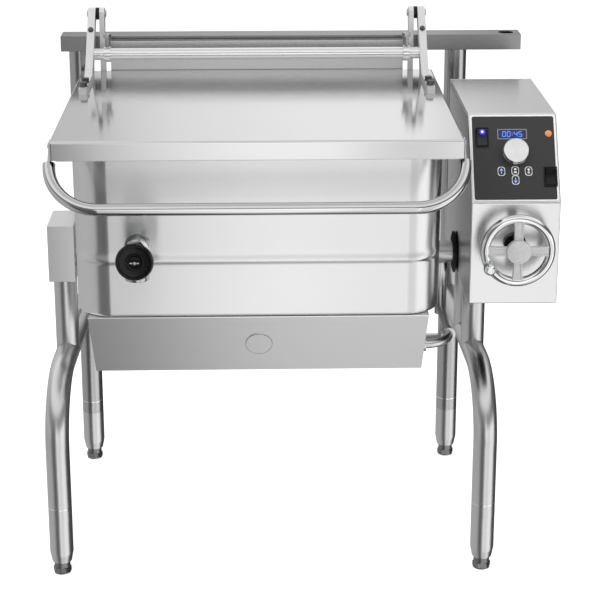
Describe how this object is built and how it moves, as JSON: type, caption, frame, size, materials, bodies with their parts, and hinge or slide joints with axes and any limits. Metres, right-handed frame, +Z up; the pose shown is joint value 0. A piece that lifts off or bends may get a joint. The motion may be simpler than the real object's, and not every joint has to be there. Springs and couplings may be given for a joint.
{
  "type": "tilting bratt pan",
  "caption": "Tilting bratt pan on an open tube frame: lagged rectangular pan with hinged lid and U handle, draw-off valve, side console with hand wheel tilt, rear beam.",
  "frame": {"origin": "middle of the footprint, on the floor", "axes": "+X to the right seen from the operator, +Y to the rear, +Z up"},
  "size_m": [1.0732, 0.8358, 1.141],
  "materials": {
    "satin_tube": "satin ground stainless tube",
    "satin_sheet": "satin stainless sheet",
    "lid_sheet": "polished stainless sheet",
    "bright_tube": "polished stainless tube",
    "hinge_casting": "blasted stainless casting",
    "vessel_steel": "satin stainless cooking vessel",
    "chrome_plate": "bright chrome plate",
    "cast_aluminium": "satin cast aluminium",
    "turned_aluminium": "turned and polished aluminium",
    "foot_steel": "dark turned steel",
    "bearing_iron": "machined cast iron",
    "drive_steel": "cut steel",
    "gear_bronze": "cut bronze",
    "black_phenolic": "moulded black phenolic",
    "black_rubber": "black rubber",
    "overlay_black": "semi gloss polyester overlay",
    "rocker_blue": "lit translucent rocker",
    "display_blue": "smoked display window",
    "lamp_orange": "lit orange lens",
    "button_black": "black key with a pale outline",
    "board_green": "printed circuit board",
    "fastener_steel": "plain stainless fasteners",
    "lagging_wool": "mineral wool"
  },
  "bodies": {
    "frame": {"leg_rail_left": "satin_tube", "leg_rail_right": "satin_tube", "rear_posts": "satin_tube", "upright_left": "satin_tube", "console_posts": "satin_tube", "rear_beam": "satin_sheet", "cross_pipe": "satin_tube", "leg_sleeves": "satin_tube", "trunnion_housing": "satin_sheet", "trunnion_bearings": "bearing_iron", "trunnion_seal": "black_rubber", "console_shell": "satin_sheet", "console_back": "satin_sheet", "console_base": "satin_sheet", "console_screws": "fastener_steel", "control_overlay": "overlay_black", "rocker_bezels": "black_phenolic", "display_window": "display_blue", "alarm_lamp": "lamp_orange", "control_board": "board_green", "gear_bracket": "bearing_iron", "wheel_bushing": "black_phenolic", "gas_inlet": "satin_tube", "cord_gland": "black_phenolic"},
    "pan": {"pan_vessel": "vessel_steel", "pan_jacket": "satin_sheet", "insulation": "lagging_wool", "burner_box": "satin_sheet", "sight_plug": "satin_sheet", "burners": "bearing_iron", "gas_pipe": "satin_tube", "flue_riser": "satin_sheet", "hinge_brackets": "hinge_casting", "hinge_pins": "fastener_steel", "trunnion_shafts": "satin_tube", "tilt_gear": "gear_bronze", "valve_body": "chrome_plate"},
    "lid": {"lid_shell": "lid_sheet", "lid_handle": "bright_tube", "lid_arms": "hinge_casting", "lid_bolts": "fastener_steel", "cross_tube": "bright_tube", "hinge_spacers": "black_phenolic"},
    "tilt_drive": {"worm_shaft": "drive_steel", "wheel_spider": "cast_aluminium", "wheel_rim": "chrome_plate"},
    "foot_front_left": {"foot_front_left": "foot_steel"},
    "foot_front_right": {"foot_front_right": "foot_steel"},
    "foot_rear_left": {"foot_rear_left": "foot_steel"},
    "foot_rear_right": {"foot_rear_right": "foot_steel"},
    "crank_knob": {"crank_knob": "chrome_plate"},
    "power_rocker": {"power_rocker": "rocker_blue"},
    "mode_rocker": {"mode_rocker": "black_phenolic"},
    "temp_knob": {"temp_knob": "turned_aluminium"},
    "button_up": {"button_up": "button_black"},
    "button_time": {"button_time": "button_black"},
    "button_probe": {"button_probe": "button_black"},
    "button_down": {"button_down": "button_black"},
    "valve_stem": {"valve_stem": "foot_steel"},
    "valve_knob": {"valve_knob": "black_phenolic"}
  },
  "joints": [
    {"name": "pan_tilt", "type": "hinge", "parent": "frame", "child": "pan", "pos_m": [-0.0802, 0.01386, 0.655], "axis": [1, 0, 0], "range_deg": [0, 90]},
    {"name": "lid_open", "type": "hinge", "parent": "pan", "child": "lid", "pos_m": [-0.0802, 0.35386, 1.127], "axis": [-1, 0, 0], "range_deg": [0, 85]},
    {"name": "hand_wheel_turn", "type": "hinge", "parent": "frame", "child": "tilt_drive", "pos_m": [0.4451, -0.28114, 0.752], "axis": [0, 1, 0], "range_deg": [0, 3600]},
    {"name": "crank_knob_spin", "type": "hinge", "parent": "tilt_drive", "child": "crank_knob", "pos_m": [0.38435, -0.29664, 0.72495], "axis": [0, -1, 0], "continuous": true},
    {"name": "temp_knob_turn", "type": "hinge", "parent": "frame", "child": "temp_knob", "pos_m": [0.4472, -0.17977, 0.9288], "axis": [0, -0.8538, 0.5206], "continuous": true},
    {"name": "power_switch", "type": "hinge", "parent": "frame", "child": "power_rocker", "pos_m": [0.38053, -0.16318, 0.95793], "axis": [-1, 0, 0], "range_deg": [0, 16]},
    {"name": "mode_switch", "type": "hinge", "parent": "frame", "child": "mode_rocker", "pos_m": [0.51773, -0.20727, 0.88563], "axis": [-1, 0, 0], "range_deg": [0, 16]},
    {"name": "button_up_press", "type": "slide", "parent": "frame", "child": "button_up", "axis": [0, 0.8538, -0.5206], "range_m": [0, 0.0015], "stiffness_N_per_m": 400},
    {"name": "button_time_press", "type": "slide", "parent": "frame", "child": "button_time", "axis": [0, 0.8538, -0.5206], "range_m": [0, 0.0015], "stiffness_N_per_m": 400},
    {"name": "button_probe_press", "type": "slide", "parent": "frame", "child": "button_probe", "axis": [0, 0.8538, -0.5206], "range_m": [0, 0.0015], "stiffness_N_per_m": 400},
    {"name": "button_down_press", "type": "slide", "parent": "frame", "child": "button_down", "axis": [0, 0.8538, -0.5206], "range_m": [0, 0.0015], "stiffness_N_per_m": 400},
    {"name": "valve_open", "type": "slide", "parent": "pan", "child": "valve_stem", "axis": [0, -1, 0], "range_m": [0, 0.01]},
    {"name": "valve_knob_turn", "type": "hinge", "parent": "valve_stem", "child": "valve_knob", "pos_m": [-0.3202, -0.41486, 0.775], "axis": [0, -1, 0], "range_deg": [0, 450]},
    {"name": "foot_front_left_adjust", "type": "slide", "parent": "frame", "child": "foot_front_left", "axis": [0, 0, -1], "range_m": [0, 0.02]},
    {"name": "foot_front_right_adjust", "type": "slide", "parent": "frame", "child": "foot_front_right", "axis": [0, 0, -1], "range_m": [0, 0.02]},
    {"name": "foot_rear_left_adjust", "type": "slide", "parent": "frame", "child": "foot_rear_left", "axis": [0, 0, -1], "range_m": [0, 0.02]},
    {"name": "foot_rear_right_adjust", "type": "slide", "parent": "frame", "child": "foot_rear_right", "axis": [0, 0, -1], "range_m": [0, 0.02]}
  ],
  "couplings": [
    {"joint": "hand_wheel_turn", "follows": "pan_tilt", "ratio": 40},
    {"joint": "valve_knob_turn", "follows": "valve_open", "rad_per_m": 785.4}
  ]
}
